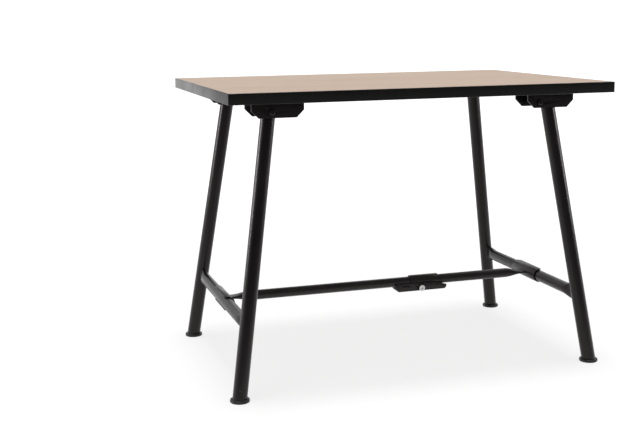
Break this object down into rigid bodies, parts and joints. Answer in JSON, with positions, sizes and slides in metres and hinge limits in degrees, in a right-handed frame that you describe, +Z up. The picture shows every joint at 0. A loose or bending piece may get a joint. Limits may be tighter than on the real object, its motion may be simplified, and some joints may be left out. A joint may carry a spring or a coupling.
{
  "type": "folding workbench",
  "caption": "Folding workbench: rectangular plywood worktop with black edging on splayed tubular steel legs that hinge up under it, braced by a strut with a centre catch.",
  "frame": {"origin": "on the floor under the middle of the worktop", "axes": "+X along the worktop to the right, +Y across it to the rear, +Z up"},
  "size_m": [1.08, 0.74, 0.803],
  "materials": {
    "work_surface": "smooth sealed beige sheet",
    "plywood": "bare pine plywood",
    "edging": "smooth black strip",
    "coated_steel": "semi-gloss black powder coat",
    "feet": "matt black",
    "zinc_steel": "bright zinc plate"
  },
  "bodies": {
    "top": {"front_edge_strip": "edging", "left_edge_strip": "edging", "left_front_bracket": "coated_steel", "left_front_bracket_screw_1": "zinc_steel", "left_front_bracket_screw_2": "zinc_steel", "left_front_bracket_screw_3": "zinc_steel", "left_front_bracket_screw_4": "zinc_steel", "left_front_pin_retainer": "coated_steel", "left_front_pivot_pin": "coated_steel", "left_rear_bracket": "coated_steel", "left_rear_bracket_screw_1": "zinc_steel", "left_rear_bracket_screw_2": "zinc_steel", "left_rear_bracket_screw_3": "zinc_steel", "left_rear_bracket_screw_4": "zinc_steel", "left_rear_pin_retainer": "coated_steel", "left_rear_pivot_pin": "coated_steel", "rear_edge_strip": "edging", "right_edge_strip": "edging", "right_front_bracket": "coated_steel", "right_front_bracket_screw_1": "zinc_steel", "right_front_bracket_screw_2": "zinc_steel", "right_front_bracket_screw_3": "zinc_steel", "right_front_bracket_screw_4": "zinc_steel", "right_front_pin_retainer": "coated_steel", "right_front_pivot_pin": "coated_steel", "right_rear_bracket": "coated_steel", "right_rear_bracket_screw_1": "zinc_steel", "right_rear_bracket_screw_2": "zinc_steel", "right_rear_bracket_screw_3": "zinc_steel", "right_rear_bracket_screw_4": "zinc_steel", "right_rear_pin_retainer": "coated_steel", "right_rear_pivot_pin": "coated_steel", "top_panel": "plywood", "work_surface": "work_surface"},
    "left_frame": {"left_crossbar": "coated_steel", "left_front_foot": "feet", "left_front_inner_spacer": "zinc_steel", "left_front_leg": "coated_steel", "left_front_outer_spacer": "zinc_steel", "left_rear_foot": "feet", "left_rear_inner_spacer": "zinc_steel", "left_rear_leg": "coated_steel", "left_rear_outer_spacer": "zinc_steel"},
    "right_frame": {"right_crossbar": "coated_steel", "right_front_foot": "feet", "right_front_leg": "coated_steel", "right_front_leg_head": "coated_steel", "right_rear_foot": "feet", "right_rear_leg": "coated_steel", "right_rear_leg_head": "coated_steel"},
    "left_strut": {"catch_bolt": "zinc_steel", "catch_cradle": "coated_steel", "catch_nut": "zinc_steel", "left_saddle": "coated_steel", "left_strut_tube": "coated_steel"},
    "right_strut": {"catch_sleeve": "coated_steel", "right_saddle": "coated_steel", "right_strut_tube": "coated_steel"},
    "lever": {"catch_lever": "coated_steel"}
  },
  "joints": [
    {"name": "left_frame_fold", "type": "hinge", "parent": "top", "child": "left_frame", "pos_m": [-0.405, 0, 0.746], "axis": [0, -1, 0], "range_deg": [0, 98.35]},
    {"name": "right_frame_fold", "type": "hinge", "parent": "top", "child": "right_frame", "pos_m": [0.363, 0, 0.746], "axis": [0, 1, 0], "range_deg": [0, 98.35]},
    {"name": "left_strut_swing", "type": "hinge", "parent": "left_frame", "child": "left_strut", "pos_m": [-0.48573, 0, 0.196], "axis": [0, 1, 0], "range_deg": [0, 277.85]},
    {"name": "right_strut_swing", "type": "hinge", "parent": "right_frame", "child": "right_strut", "pos_m": [0.48573, 0, 0.196], "axis": [0, 1, 0], "range_deg": [0, 81.65]},
    {"name": "lever_lift", "type": "hinge", "parent": "left_strut", "child": "lever", "pos_m": [0.118, -0.0198, 0.178], "axis": [0, -1, 0], "range_deg": [0, 70]}
  ],
  "couplings": [
    {"joint": "left_strut_swing", "follows": "left_frame_fold", "ratio": 2.8251},
    {"joint": "right_strut_swing", "follows": "right_frame_fold", "ratio": 0.8301}
  ]
}
